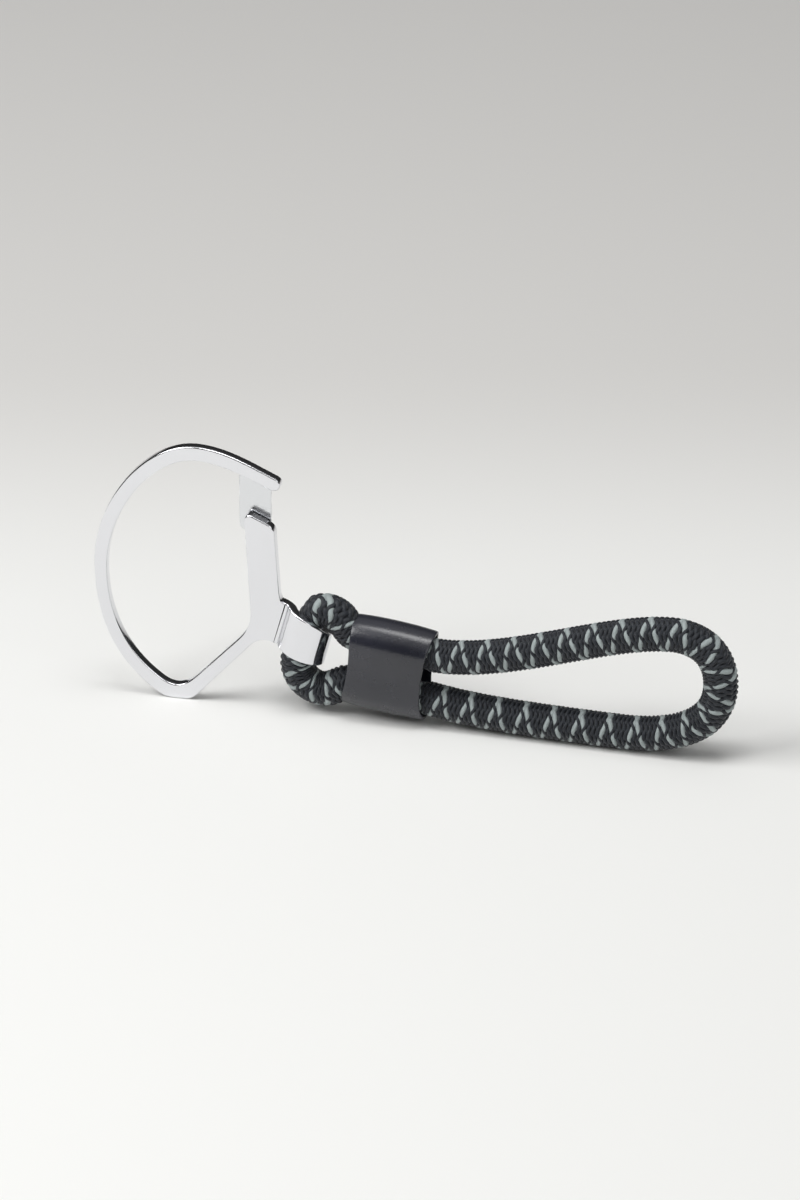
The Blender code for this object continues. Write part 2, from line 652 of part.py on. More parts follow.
def flat_tube(name, half_h, half_w, wall, length, pinch, parts, dish=0.0, skive=0.0, lip=0.0, slant=0.0,
              rows=8):
    """A flattened tube along the sleeve's axis.

    Its ends lie back by dish in the middle, the left one also by slant at the top; towards the ends
    the tube gets smaller by the share pinch and its wall thinner by skive; lip rounds the outer rim.
    """
    centre, along, up = sleeve_directions()

    def section(u, inset, cut=0.0):
        """One closed section; u runs from -1 to 1 along the tube."""
        f = 1.0 - pinch * u * u
        out = []
        for y, z in stadium(half_h * f - inset, half_w * f - inset):
            reach = length / 2 - dish * (1.0 - (z / half_h) ** 2) - cut
            if u < 0 and z > 0:
                reach -= slant * (z / half_h) ** 2
            out.append(centre + along * (reach * u) + up * z + Vector((0.0, y, 0.0)))
        return out

    stations = [2.0 * r / rows - 1.0 for r in range(rows + 1)]
    rim = [(lip, 0.0), (0.3 * lip, 0.3 * lip), (0.0, lip)] if lip else [(0.0, 0.0)]
    sections = [section(-1.0, inset, cut) for inset, cut in rim]
    sections += [section(u, 0.0) for u in stations[1:-1]]
    sections += [section(1.0, inset, cut) for inset, cut in reversed(rim)]
    sections += [section(u, wall - skive * u * u) for u in reversed(stations)]
    return loft(name, sections, parts, closed=True)


def build_thread(parts):
    """The stitches that close the leather at the back, one zigzag thread over the seam."""
    centre, along, up = sleeve_directions()
    centre = centre + Vector((0.0, SLEEVE_W / 2 + THREAD_GAP + THREAD_R, 0.0))
    run = SLEEVE_LEN - 2 * SLEEVE_DISH - SEAM_SHORT
    turns = []
    for k in range(2 * STITCHES + 1):
        rise = STITCH_RISE if k % 2 else -STITCH_RISE
        turns.append(centre + along * (run * (k / (2 * STITCHES) - 0.5)) + up * rise)
    pts = [turns[0]]
    for a, b, c in zip(turns, turns[1:], turns[2:]):
        p, q = a.lerp(b, STITCH_TURN), c.lerp(b, STITCH_TURN)
        pts += [p, p.lerp(b, 0.5).lerp(b.lerp(q, 0.5), 0.5), q]
    pts.append(turns[-1])
    return bevelled_line('seam_thread', pts, THREAD_R, parts)


def build_sleeve(parts):
    inset = LEATHER_T + FERRULE_GAP
    leather = flat_tube('leather_sleeve', SLEEVE_H / 2, SLEEVE_W / 2, LEATHER_T, SLEEVE_LEN,
                        SLEEVE_PINCH, parts, SLEEVE_DISH, SLEEVE_SKIVE, SLEEVE_LIP, SLEEVE_SLANT)
    ferrule = flat_tube('crimp_ferrule', SLEEVE_H / 2 - inset, SLEEVE_W / 2 - inset, FERRULE_T,
                        FERRULE_LEN, SLEEVE_PINCH * (FERRULE_LEN / SLEEVE_LEN) ** 2, parts, rows=4)
    return leather, ferrule, build_thread(parts)


# ================================================================ assembly
def pivot(name, at, parts, root):
    """An empty on a joint's axis."""
    ob = link(name, None, parts)
    ob.empty_display_size = 5 * MM
    ob.parent = root
    ob.location = Vector(at) * MM
    return ob


def hang(ob, empty):
    """Parent the object to an empty that has not been turned yet; its place stays as it is."""
    ob.parent = empty
    ob.location = ob.location - empty.location


def settle(root, obs):
    """Stand the whole object on Z = 0 with the middle of its footprint on the origin."""
    bpy.context.view_layer.update()
    corners = [ob.matrix_world @ v.co for ob in obs for v in evaluated_mesh(ob).vertices]
    low = [min(c[k] for c in corners) for k in range(3)]
    high = [max(c[k] for c in corners) for k in range(3)]
    root.location = (-(low[0] + high[0]) / 2, -(low[1] + high[1]) / 2, -low[2])


def main():
    clear()
    parts, cutters = new_collection('key_organiser'), new_collection('cutters')
    root = link('key_organiser_origin', None, parts)
    frame = build_frame(parts, cutters)
    tip, fixed = build_leaf(frame, parts, cutters)
    pts = loop_path()
    sizes = path_sizes(pts)
    sheath, yarns = build_sheath(pts, sizes, parts), build_yarns(pts, sizes, parts)
    leather, ferrule, thread = build_sleeve(parts)

    gate = pivot('gate_pivot', (leaf_middle(), PLATE_T / 2 + LEAF_GAP + LEAF_T / 2, LEAF_BEND), parts, root)
    loop = pivot('loop_pivot', (EYE_X, EYE_Y, EYE_Z), parts, root)
    for ob in [frame] + fixed:
        ob.parent = root
    hang(tip, gate)
    for ob in [sheath, leather, ferrule, thread] + yarns:
        hang(ob, loop)
    loop.rotation_mode = 'QUATERNION'
    loop.rotation_quaternion = Matrix.Rotation(math.radians(REST_SWING), 3, eye_axis()).to_quaternion()

    looks = [(frame, POLISHED_STEEL), (tip, SPRING_STEEL), (fixed[0], SPRING_STEEL), (sheath, BRAID),
             (leather, LEATHER), (ferrule, FERRULE_STEEL), (thread, THREAD)]
    looks += [(rivet, RIVET_STEEL) for rivet in fixed[1:]]
    looks += [(yarn, CORE_YARN) for yarn in yarns]
    for ob, look in looks:
        dress(ob, look)
    settle(root, [ob for ob, _ in looks])


main()
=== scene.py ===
"""Looks of the key organiser: polished steel ring, spring leaf gate, braided cord loop, leather sleeve.

Lengths in this file are millimetres in the frame that the part was drawn in: X to the right along the
flat of the ring, Y away from the viewer, Z up, the ring's foot at X = 0, Z = 0.  place() turns them
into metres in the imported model's frame.
"""
import math

import bmesh
import bpy
from mathutils import Matrix, Vector


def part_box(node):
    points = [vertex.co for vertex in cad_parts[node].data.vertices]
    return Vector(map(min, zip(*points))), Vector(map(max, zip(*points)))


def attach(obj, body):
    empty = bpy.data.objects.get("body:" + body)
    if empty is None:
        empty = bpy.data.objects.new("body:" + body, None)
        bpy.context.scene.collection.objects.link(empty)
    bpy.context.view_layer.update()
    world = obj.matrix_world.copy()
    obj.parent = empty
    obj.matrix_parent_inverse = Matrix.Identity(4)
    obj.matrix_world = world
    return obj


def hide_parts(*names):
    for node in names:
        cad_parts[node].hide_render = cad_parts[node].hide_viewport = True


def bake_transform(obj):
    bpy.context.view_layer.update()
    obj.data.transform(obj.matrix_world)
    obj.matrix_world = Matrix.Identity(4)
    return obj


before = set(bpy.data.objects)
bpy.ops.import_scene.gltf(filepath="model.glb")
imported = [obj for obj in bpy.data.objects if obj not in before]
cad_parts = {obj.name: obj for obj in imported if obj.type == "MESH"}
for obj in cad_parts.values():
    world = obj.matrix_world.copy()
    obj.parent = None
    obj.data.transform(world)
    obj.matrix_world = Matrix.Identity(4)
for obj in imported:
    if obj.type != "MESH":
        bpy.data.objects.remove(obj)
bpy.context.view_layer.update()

MM = 0.001

# ------------------------------------------------------------ driving sizes, the same as the part's
PLATE_T = 1.9
RING_LEFT = -15.5
EYE_X, EYE_Y, EYE_Z = 22.7, 1.3, 15.0
EYE_LEAN = math.radians(15.3)
EYE_R = 4.7
REST_SWING = math.radians(-2.2)
LEAF_T, LEAF_GAP = 0.5, 0.3
LEAF_LEFT, LEAF_RIGHT, LEAF_TOP = 10.7, 16.5, 44.8
LEAF_SHOULDER, LEAF_BEND, LEAF_LOW = 35.2, 32.2, 21.5
LEAF_ROOT_W, LEAF_OFF = 4.2, 1.3
CORD_R = 3.1
TURN_TOP_H, TURN_TOP_R = 2.0, 3.55
TURN_LOW_H, TURN_LOW_R = -5.2, 4.6
SLEEVE_X, SLEEVE_Z = 38.2, 10.15
SLEEVE_LEN, SLEEVE_TILT = 15.7, math.radians(-6.2)
SLEEVE_H, SLEEVE_W = 17.5, 8.8
SLEEVE_PINCH, SLEEVE_DISH, SLEEVE_SLANT = 0.04, 1.1, 0.5
STRAND_OFF = 4.1
CUT_AT, CUT_GAP = -0.8, 0.7

ring_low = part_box("ring_frame")[0]
SHIFT = Vector((ring_low[0] / MM - RING_LEFT, ring_low[1] / MM - (EYE_Y - EYE_R), 0.0))
AXIS = Vector((math.sin(EYE_LEAN), 0.0, math.cos(EYE_LEAN)))
SWING = (Matrix.Translation((EYE_X, EYE_Y, EYE_Z)) @ Matrix.Rotation(REST_SWING, 4, AXIS)
         @ Matrix.Translation((-EYE_X, -EYE_Y, -EYE_Z)))


def place(p):
    """Millimetres in the drawing frame to metres in the model's frame."""
    return (Vector(p) + SHIFT) * MM


def place_on_loop(p):
    """The same for a point of the loop, which is drawn in the plane of the ring and then turned."""
    return place(SWING @ Vector(p))


def outward(ob):
    """Turns every face of a closed mesh outwards."""
    bm = bmesh.new()
    bm.from_mesh(ob.data)
    bmesh.ops.recalc_face_normals(bm, faces=bm.faces)
    bm.to_mesh(ob.data)
    bm.free()


def collection(name):
    made = bpy.data.collections.new(name)
    bpy.context.scene.collection.children.link(made)
    return made


LOOKS = collection("looks")
STUDIO = collection("studio")


def mesh_piece(name, verts, faces, materials, body, stands_for=(), indices=None, uvs=None):
    """A smooth mesh piece that rides on a body; verts are in metres."""
    me = bpy.data.meshes.new(name)
    me.from_pydata([tuple(v) for v in verts], [], faces)
    for mat in materials:
        me.materials.append(mat)
    if indices:
        me.polygons.foreach_set("material_index", indices)
    if uvs:
        layer = me.uv_layers.new(name="along")
        flat = [uvs[v] for poly in me.polygons for v in poly.vertices]
        layer.data.foreach_set("uv", [c for uv in flat for c in uv])
    me.polygons.foreach_set("use_smooth", [True] * len(me.polygons))
    me.validate()
    ob = bpy.data.objects.new(name, me)
    LOOKS.objects.link(ob)
    if body:
        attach(ob, body)
    if stands_for:
        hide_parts(*stands_for)
    return ob


# ============================================================ materials
def set_stops(ramp, stops):
    """Fills a colour ramp with (place, colour) pairs."""
    while len(ramp.elements) < len(stops):
        ramp.elements.new(0.5)
    for element, (at, colour) in zip(ramp.elements, stops):
        element.position = at
        element.color = (*colour, 1.0)


class Nodes:
    """A material and short ways to add its nodes."""

    def __init__(self, name):
        self.mat = bpy.data.materials.new(name)
        self.mat.use_nodes = True
        self.tree = self.mat.node_tree
        self.bsdf = self.tree.nodes["Principled BSDF"]

    def add(self, kind, links=None, **values):
        node = self.tree.nodes.new(kind)
        for key, value in values.items():
            setattr(node, key, value)
        for socket, source in (links or {}).items():
            self.feed(node.inputs[socket], source)
        return node

    def feed(self, socket, source):
        if isinstance(source, bpy.types.NodeSocket):
            self.tree.links.new(source, socket)
        else:
            socket.default_value = source

    def math(self, operation, a, b=0.0, clamp=False):
        node = self.add("ShaderNodeMath", operation=operation, use_clamp=clamp)
        self.feed(node.inputs[0], a)
        self.feed(node.inputs[1], b)
        return node.outputs[0]

    def noise(self, coords, scale, detail=3.0, rough=0.55):
        return self.add("ShaderNodeTexNoise", {"Vector": coords, "Scale": scale, "Detail": detail,
                                               "Roughness": rough}).outputs["Fac"]

    def ramp(self, fac, stops, interpolation="LINEAR"):
        node = self.add("ShaderNodeValToRGB", {"Fac": fac})
        node.color_ramp.interpolation = interpolation
        set_stops(node.color_ramp, stops)
        return node.outputs["Color"]

    def bump(self, height, distance, strength, normal=None):
        links = {"Height": height, "Distance": distance, "Strength": strength}
        if normal is not None:
            links["Normal"] = normal
        return self.add("ShaderNodeBump", links).outputs["Normal"]

    def surface(self, **inputs):
        for name, value in inputs.items():
            self.feed(self.bsdf.inputs[name.replace("_", " ")], value)
        return self.mat


def grey(v):
    return (v, v, v)


def object_coords(n):
    return n.add("ShaderNodeTexCoord").outputs["Object"]


def steel(name, colour, roughness, haze, scratches=0.0, stretch=(1.0, 1.0, 1.0)):
    """Steel with a faint uneven polish and, where wanted, fine straight brush marks."""
    n = Nodes(name)
    where = object_coords(n)
    cloud = n.noise(where, 140.0, 4.0)
    fine = n.noise(n.add("ShaderNodeMapping", {"Vector": where, "Scale": stretch}).outputs["Vector"],
                   2600.0, 2.0)
    rough = n.math("ADD", n.math("MULTIPLY", n.math("SUBTRACT", cloud, 0.45), haze), roughness)
    rough = n.math("ADD", rough, n.math("MULTIPLY", fine, scratches * 0.3), clamp=True)
    tint = n.ramp(cloud, [(0.3, [c * 0.985 for c in colour]), (0.7, colour)])
    normal = n.bump(fine, 2e-6 + scratches * 1e-5, 0.15 + scratches)
    return n.surface(Base_Color=tint, Metallic=1.0, Roughness=rough, Normal=normal)


def leather(name):
    """Smooth black leather: tiny pores and creases, a worn sheen, slightly uneven dye."""
    n = Nodes(name)
    where = object_coords(n)
    cells = n.add("ShaderNodeTexVoronoi", {"Vector": where, "Scale": 1500.0, "Randomness": 1.0},
                  feature="DISTANCE_TO_EDGE").outputs["Distance"]
    pores = n.ramp(cells, [(0.0, grey(0.0)), (0.18, grey(1.0))])
    crease = n.noise(where, 420.0, 6.0, 0.65)
    cloud = n.noise(where, 90.0, 3.0)
    dye = n.ramp(cloud, [(0.3, (0.010, 0.011, 0.018)), (0.75, (0.020, 0.021, 0.032))])
    rough = n.math("ADD", n.math("MULTIPLY", crease, 0.14), 0.19)
    normal = n.bump(crease, 4e-5, 0.35)
    normal = n.bump(pores, 1.2e-5, 0.5, normal)
    n.bsdf.inputs["Specular IOR Level"].default_value = 0.75
    n.bsdf.inputs["Sheen Weight"].default_value = 0.08
    n.bsdf.inputs["Sheen Roughness"].default_value = 0.5
    return n.surface(Base_Color=dye, Roughness=rough, Normal=normal)


def yarn(name, dark, light, rough, filaments=9.0):
    """A strand of the braid: twisted filaments along its UV, a little fuzz, uneven dye, and painted
    shade between the filaments and towards its edges.
    """
    n = Nodes(name)
    uv = n.add("ShaderNodeTexCoord").outputs["UV"]
    split = n.add("ShaderNodeSeparateXYZ", {"Vector": uv})
    along, across = split.outputs["X"], split.outputs["Y"]
    where = object_coords(n)
    waver = n.noise(where, 900.0, 2.0)
    lay = n.math("ADD", n.math("MULTIPLY", across, filaments), n.math("MULTIPLY", along, 1.6))
    lay = n.math("ADD", lay, n.math("MULTIPLY", waver, 1.4))
    ridge = n.math("ABSOLUTE", n.math("SINE", n.math("MULTIPLY", lay, math.pi)))
    edge = n.math("MULTIPLY", n.math("MULTIPLY", across, n.math("SUBTRACT", 1.0, across)), 4.0)
    # Painted shade: the colour is darker in the grooves between the filaments and towards the strand's
    # two edges, and waver adds uneven dye. dark and light are the two ends of this ramp.
    painted_shade = n.math("MULTIPLY", n.math("ADD", n.math("MULTIPLY", ridge, 0.55), 0.45),
                   n.math("ADD", n.math("MULTIPLY", edge, 0.5), 0.5))
    painted_shade = n.math("MULTIPLY", painted_shade, n.math("ADD", n.math("MULTIPLY", waver, 0.6), 0.7), clamp=True)
    colour = n.ramp(painted_shade, [(0.1, dark), (0.95, light)])
    normal = n.bump(ridge, 2.5e-5, 0.6)
    n.bsdf.inputs["Sheen Weight"].default_value = 0.25
    n.bsdf.inputs["Sheen Roughness"].default_value = 0.4
    n.bsdf.inputs["Specular IOR Level"].default_value = 0.35
    return n.surface(Base_Color=colour, Roughness=rough, Normal=normal)


def pale_floor(name, near, far, starts, ends):
    """A matt floor, pale in front, with painted shade that darkens it behind the object, from starts to
    ends metres.
    """
    n = Nodes(name)
    split = n.add("ShaderNodeSeparateXYZ", {"Vector": object_coords(n)})
    depth = n.math("SUBTRACT", n.math("MULTIPLY", split.outputs["Y"], math.cos(CAMERA_AZ)),
                   n.math("MULTIPLY", split.outputs["X"], math.sin(CAMERA_AZ)))
    share = n.math("DIVIDE", n.math("SUBTRACT", depth, starts), ends - starts, clamp=True)
    # Painted shade: the floor's colour darkens from near to far behind the object.
    tint = n.ramp(share, [(0.0, near), (1.0, far)], "EASE")
    n.bsdf.inputs["Specular IOR Level"].default_value = 0.2
    return n.surface(Base_Color=tint, Roughness=0.6)


POLISHED = steel("polished steel", (0.80, 0.803, 0.83), 0.11, haze=0.05)
SPRING = steel("spring steel", (0.76, 0.77, 0.79), 0.20, haze=0.05, scratches=0.02,
               stretch=(1.0, 1.0, 0.2))
RIVET = steel("rivet steel", (0.74, 0.75, 0.77), 0.22, haze=0.08)
FERRULE = steel("ferrule steel", (0.5, 0.51, 0.53), 0.35, haze=0.1)
LEATHER = leather("black leather")
BLACK_YARN = yarn("black yarn", (0.002, 0.002, 0.003), (0.022, 0.026, 0.034), 0.5)
TRACER_YARN = yarn("tracer yarn", (0.14, 0.165, 0.165), (0.40, 0.45, 0.45), 0.6)
CORE_YARN = yarn("core yarn", (0.45, 0.45, 0.42), (0.78, 0.78, 0.74), 0.8)
THREAD = yarn("waxed thread", (0.020, 0.020, 0.023), (0.11, 0.11, 0.12), 0.42, filaments=3.0)


# ============================================================ camera
CAMERA_AZ, CAMERA_EL = math.radians(13.7), math.radians(26.0)
CAMERA_LENS, CAMERA_DISTANCE = 252.0, 1500.0
SENSOR = 36.0
FRAME_LONG_SIDE = 1200.0                                   # pixels, as are the next two
FOOT_RIGHT_OF_CENTRE, FOOT_BELOW_CENTRE = -220.0, 98.5     # where the foot stands in the frame


def make_camera():
    data = bpy.data.cameras.new("camera")
    data.lens = CAMERA_LENS
    data.sensor_width = SENSOR
    data.clip_end = 20.0
    ob = bpy.data.objects.new("camera", data)
    STUDIO.objects.link(ob)
    back = Vector((math.sin(CAMERA_AZ) * math.cos(CAMERA_EL),
                   -math.cos(CAMERA_AZ) * math.cos(CAMERA_EL), math.sin(CAMERA_EL)))
    right = Vector((math.cos(CAMERA_AZ), math.sin(CAMERA_AZ), 0.0))
    up = back.cross(right)
    scale = CAMERA_LENS / SENSOR * FRAME_LONG_SIDE / CAMERA_DISTANCE
    middle = (Vector((0.0, -PLATE_T / 2, 0.0)) - right * (FOOT_RIGHT_OF_CENTRE / scale)
              + up * (FOOT_BELOW_CENTRE / scale))
    turn = Matrix((right, up, back)).transposed().to_4x4()
    ob.matrix_world = Matrix.Translation(place(middle + back * CAMERA_DISTANCE)) @ turn
    bpy.context.scene.camera = ob


make_camera()


# ============================================================ the cord's route
LOW_1, LOW_2, LOW_3 = (50.0, 3.4), (62.0, 3.12), (80.5, 3.12)
LOW_4, END_1, END_2 = (91.3, 3.12), (98.5, 7.0), (98.5, 14.6)
END_3, TOP_1, TOP_2 = (98.5, 20.2), (95.0, 23.6), (88.8, 23.15)
TOP_3, TOP_4 = (75.9, 22.2), (57.0, 11.4)
FINE = 0.08                        # spacing of the route's points before they are made even
HELD = 4.8                         # the strands are straight this far each way inside the sleeve
TURN_IN, TURN_OUT = math.radians(36.0), math.radians(286.0)    # outer ends of the arcs at the eye


def bezier(a, b, c, d, step=FINE):
    a, b, c, d = (Vector(p) for p in (a, b, c, d))
    rough = (b - a).length + (c - b).length + (d - c).length
    count = max(4, int(rough / step))
    out = []
    for i in range(count):
        t = i / count
        s = 1.0 - t
        out.append(a * s ** 3 + b * 3 * s * s * t + c * 3 * s * t * t + d * t ** 3)
    return out


def line(a, b):
    a, b = Vector(a), Vector(b)
    count = max(2, int((b - a).length / FINE))
    return [a.lerp(b, i / count) for i in range(count)]


def on_arc(centre, radius, a):
    """The point of a circle at angle a, and the direction along the circle there."""
    return (Vector((centre[0] + radius * math.cos(a), centre[1] + radius * math.sin(a))),
            Vector((-math.sin(a), math.cos(a))))


def arc(centre, radius, start, end):
    count = max(4, int(abs(end - start) * radius / FINE))
    return [on_arc(centre, radius, start + (end - start) * i / count)[0] for i in range(count)]


def in_sleeve(along, side):
    """A point of the upper (1) or lower (-1) strand inside the sleeve, in X-Z."""
    c, s = math.cos(SLEEVE_TILT), math.sin(SLEEVE_TILT)
    off = side * STRAND_OFF
    return Vector((SLEEVE_X + along * c - off * s, SLEEVE_Z + along * s + off * c))


def cord_route():
    """The cord's centre line in X-Z from cut end to cut end, before the loop is turned."""
    ax, az = AXIS.x, AXIS.z
    top = (EYE_X + ax * TURN_TOP_H + az * TURN_TOP_R, EYE_Z + az * TURN_TOP_H - ax * TURN_TOP_R)
    low = (EYE_X + ax * TURN_LOW_H + az * TURN_LOW_R, EYE_Z + az * TURN_LOW_H - ax * TURN_LOW_R)
    to_axis = math.pi - EYE_LEAN
    p_in, d_in = on_arc(top, TURN_TOP_R, TURN_IN)
    p_out, d_out = on_arc(low, TURN_LOW_R, TURN_OUT)
    pts = line(in_sleeve(CUT_AT - CUT_GAP / 2, 1), in_sleeve(-HELD, 1))
    pts += bezier(in_sleeve(-HELD, 1), in_sleeve(-7.1, 1), p_in - d_in * 2.1, p_in)
    pts += arc(top, TURN_TOP_R, TURN_IN, to_axis)
    pts += line(on_arc(top, TURN_TOP_R, to_axis)[0], on_arc(low, TURN_LOW_R, to_axis)[0])
    pts += arc(low, TURN_LOW_R, to_axis, TURN_OUT)
    pts += bezier(p_out, p_out + d_out * 1.4, in_sleeve(-7.2, -1), in_sleeve(-HELD, -1))
    pts += line(in_sleeve(-HELD, -1), in_sleeve(HELD, -1))
    pts += bezier(in_sleeve(HELD, -1), LOW_1, LOW_2, LOW_3)
    pts += bezier(LOW_3, LOW_4, END_1, END_2)
    pts += bezier(END_2, END_3, TOP_1, TOP_2)
    pts += bezier(TOP_2, TOP_3, TOP_4, in_sleeve(HELD, 1))
    pts += line(in_sleeve(HELD, 1), in_sleeve(CUT_AT + CUT_GAP / 2, 1))
    return pts


def evenly(pts, step):
    """The same line with points at an even distance, and that line's length."""
    run = [0.0]
    for a, b in zip(pts, pts[1:]):
        run.append(run[-1] + (b - a).length)
    count = int(run[-1] / step)
    out, k = [], 0
    for i in range(count + 1):
        s = run[-1] * i / count
        while k < len(run) - 2 and run[k + 1] < s:
            k += 1
        gap = run[k + 1] - run[k]
        out.append(pts[k].lerp(pts[k + 1], (s - run[k]) / gap if gap else 0.0))
    return out, run[-1]


def eased(k):
    k = min(1.0, max(0.0, k))
    return k * k * (3 - 2 * k)


SQUEEZED, SQUEEZED_Y = 0.78, 0.86        # what is left of the cord's height and width where it is held
SLEEVE_IN = (0.2, -0.1)                  # the squeeze starts this far inside the left and right end,
SLEEVE_EASE = 2.2                        # and is complete after this length
EYE_REACH, EYE_EASE = (5.2, 5.4), 1.8    # the same at the eye, before and after its middle


def squeeze(p, from_eye):
    """How much of its height and width the cord keeps in the sleeve and the eye."""
    c, s = math.cos(SLEEVE_TILT), math.sin(SLEEVE_TILT)
    along = (p.x - SLEEVE_X) * c + (p.y - SLEEVE_Z) * s
    k = eased((SLEEVE_LEN / 2 - SLEEVE_IN[along >= 0] - abs(along)) / SLEEVE_EASE)
    k = max(k, eased((EYE_REACH[from_eye >= 0] - abs(from_eye)) / EYE_EASE))
    return 1.0 - (1.0 - SQUEEZED) * k, 1.0 - (1.0 - SQUEEZED_Y) * k


# ============================================================ the braid
CARRIERS = 6             # strands each way round
TRACERS = (0,)           # the pale one among them, each way
LEAD = 5.1               # one turn of a strand along the cord
PER_LEAD = 48            # points of a strand in one turn
STRAND_W = 0.76          # width of a strand across its run
TRACER_W = 0.95          # the pale ones are a little fuller
BED_R = CORD_R - 0.52    # radius of the middle of the strands
RIDE = 0.16              # how far a strand rises and dips as it crosses the others
TRACER_LIFT = 0.60       # the pale ones are pulled up, so that the black ones hardly cover them
ARCH = (0.0, 0.68, 0.95, 1.0, 0.95, 0.68, 0.0)      # a strand's rounded back
ARCH_H = 0.40
BRAID_TURN = math.radians(-14.0)        # the pale strands cross this far in front of the loop's inside
CORE_UNDER, CORE_SIDES, CORE_STRIDE = 0.05, 20, 5   # the core lies a little under the strands
CORE_UV = (0.6, 6.0)     # its UV for each row, and once round
UV_LENGTH = 0.8          # length of a strand or thread for each unit of its UV
TO_BACK = Vector((0.0, 1.0, 0.0))


def cord_frames(route, step):
    """Centre, side and the share of height and width at each station of the cord."""
    eye = min(range(len(route)), key=lambda i: (route[i] - Vector((EYE_X, EYE_Z))).length)
    out = []
    for i, p in enumerate(route):
        d = (route[min(i + 1, len(route) - 1)] - route[max(i - 1, 0)]).normalized()
        f, g = squeeze(p, (i - eye) * step)
        out.append((Vector((p.x, EYE_Y, p.y)), Vector((-d.y, 0.0, d.x)), f, g))
    return out


def cord_point(frames, i, angle, radius):
    """A point at this angle and distance from the centre; i may lie between two stations."""
    out = []
    lo = math.floor(i)
    for k in (lo, lo + 1):
        c, side, f, g = frames[max(0, min(len(frames) - 1, k))]
        out.append(c + radius * (f * math.cos(angle) * side + g * math.sin(angle) * TO_BACK))
    return out[0].lerp(out[1], i - lo)


def braid_core(frames, verts, faces, uvs):
    """A plain dark core that closes the gaps between the strands."""
    sides = CORE_SIDES
    stations = list(range(0, len(frames), CORE_STRIDE)) + [len(frames) - 1]
    for k, i in enumerate(stations):
        for j in range(sides):
            verts.append(cord_point(frames, i, 2 * math.pi * j / sides, BED_R - CORE_UNDER))
            uvs.append((k * CORE_UV[0], j / sides * CORE_UV[1]))
        if k:
            a = len(verts) - 2 * sides
            for j in range(sides):
                faces.append((a + j, a + (j + 1) % sides, a + sides + (j + 1) % sides, a + sides + j))
    faces.append(tuple(range(sides)))
    faces.append(tuple(range(len(verts) - 1, len(verts) - sides - 1, -1)))


def braid_strand(frames, step, way, n, verts, faces, uvs):
    """One strand, a rounded ribbon that winds one way and rides over and under the others."""
    pale = n in TRACERS
    width = TRACER_W if pale else STRAND_W
    turn = 2 * math.pi / LEAD
    lay = math.atan2(2 * math.pi * BED_R, LEAD)         # the strand's angle to the cord
    wide = len(ARCH)
    for i in range(len(frames)):
        s = i * step
        angle = way * turn * s + 2 * math.pi * n / CARRIERS + BRAID_TURN
        # every strand goes over one and under one of those that wind the other way
        over = way * math.cos(2 * math.pi * CARRIERS * s / LEAD)
        if pale:
            over = TRACER_LIFT + (1.0 - TRACER_LIFT) * over
        for m, arch in enumerate(ARCH):
            off = (m / (wide - 1) - 0.5) * width
            verts.append(cord_point(frames, i - way * off * math.sin(lay) / step,
                                    angle + off * math.cos(lay) / BED_R,
                                    BED_R + RIDE * over + ARCH_H * arch))
            uvs.append((s / UV_LENGTH, m / (wide - 1)))
        if i:
            a = len(verts) - 2 * wide
            for m in range(wide - 1):
                quad = (a + m, a + wide + m, a + wide + m + 1, a + m + 1)
                faces.append(quad if way > 0 else tuple(reversed(quad)))


def build_cord():
    route, length = evenly(cord_route(), LEAD / PER_LEAD)
    step = length / (len(route) - 1)
    frames = cord_frames(route, step)
    verts, faces, uvs = [], [], []
    braid_core(frames, verts, faces, uvs)
    indices = [0] * len(faces)
    for way in (1, -1):
        for n in range(CARRIERS):
            braid_strand(frames, step, way, n, verts, faces, uvs)
            indices += [1 if n in TRACERS else 0] * (len(faces) - len(indices))
    ob = mesh_piece("braided_cord", [place_on_loop(v) for v in verts], faces,
                    [BLACK_YARN, TRACER_YARN], "loop", ["cord_sheath"], indices, uvs)


build_cord()


# ============================================================ leather sleeve
LEATHER_T, LEATHER_SKIVE = 0.85, 0.45     # its thickness, and how much thinner it is at its ends
LEATHER_LIP, LIP_STEPS = 0.28, 6          # rounding of its rims
LEATHER_DIP = 0.10                        # it gives a little over the two strands and between them
SLEEVE_ROWS = 30
SLEEVE_INSIDE = (1.0, 0.97, 0.9, 0.5, 0.0, -0.5, -0.9, -0.97, -1.0)     # the rows of its inside
SEAM_W, SEAM_DEPTH = 0.45, 0.32           # half width and depth of the groove where its edges meet
SEAM_PROFILE = ((-1.0, 0.0), (-0.6, 0.04), (-0.3, 0.25), (0.0, 1.0), (0.3, 0.25), (0.6, 0.04),
                (1.0, 0.0))
STITCHES, STITCH_RISE, STITCH_POINTS = 5, 0.9, 20
STITCH_RUN = SLEEVE_LEN - 2 * SLEEVE_DISH - 2.4
STITCH_LIFT, STITCH_STEEP, STITCH_SUNK = 0.42, 3.2, 0.34    # it rises steeply out of each hole
PLY_R, PLY_OFF, PLY_LAY, PLY_SIDES = 0.17, 0.13, 1.1, 8     # two plies twisted together


def sleeve_point(along, up, y):
    c, s = math.cos(SLEEVE_TILT), math.sin(SLEEVE_TILT)
    return Vector((SLEEVE_X + along * c - up * s, EYE_Y + y, SLEEVE_Z + along * s + up * c))


def pinch(u):
    """The sleeve's height and width at u, which is -1 and 1 at its ends, over those at its middle."""
    return 1.0 - SLEEVE_PINCH * abs(u) ** 2.2


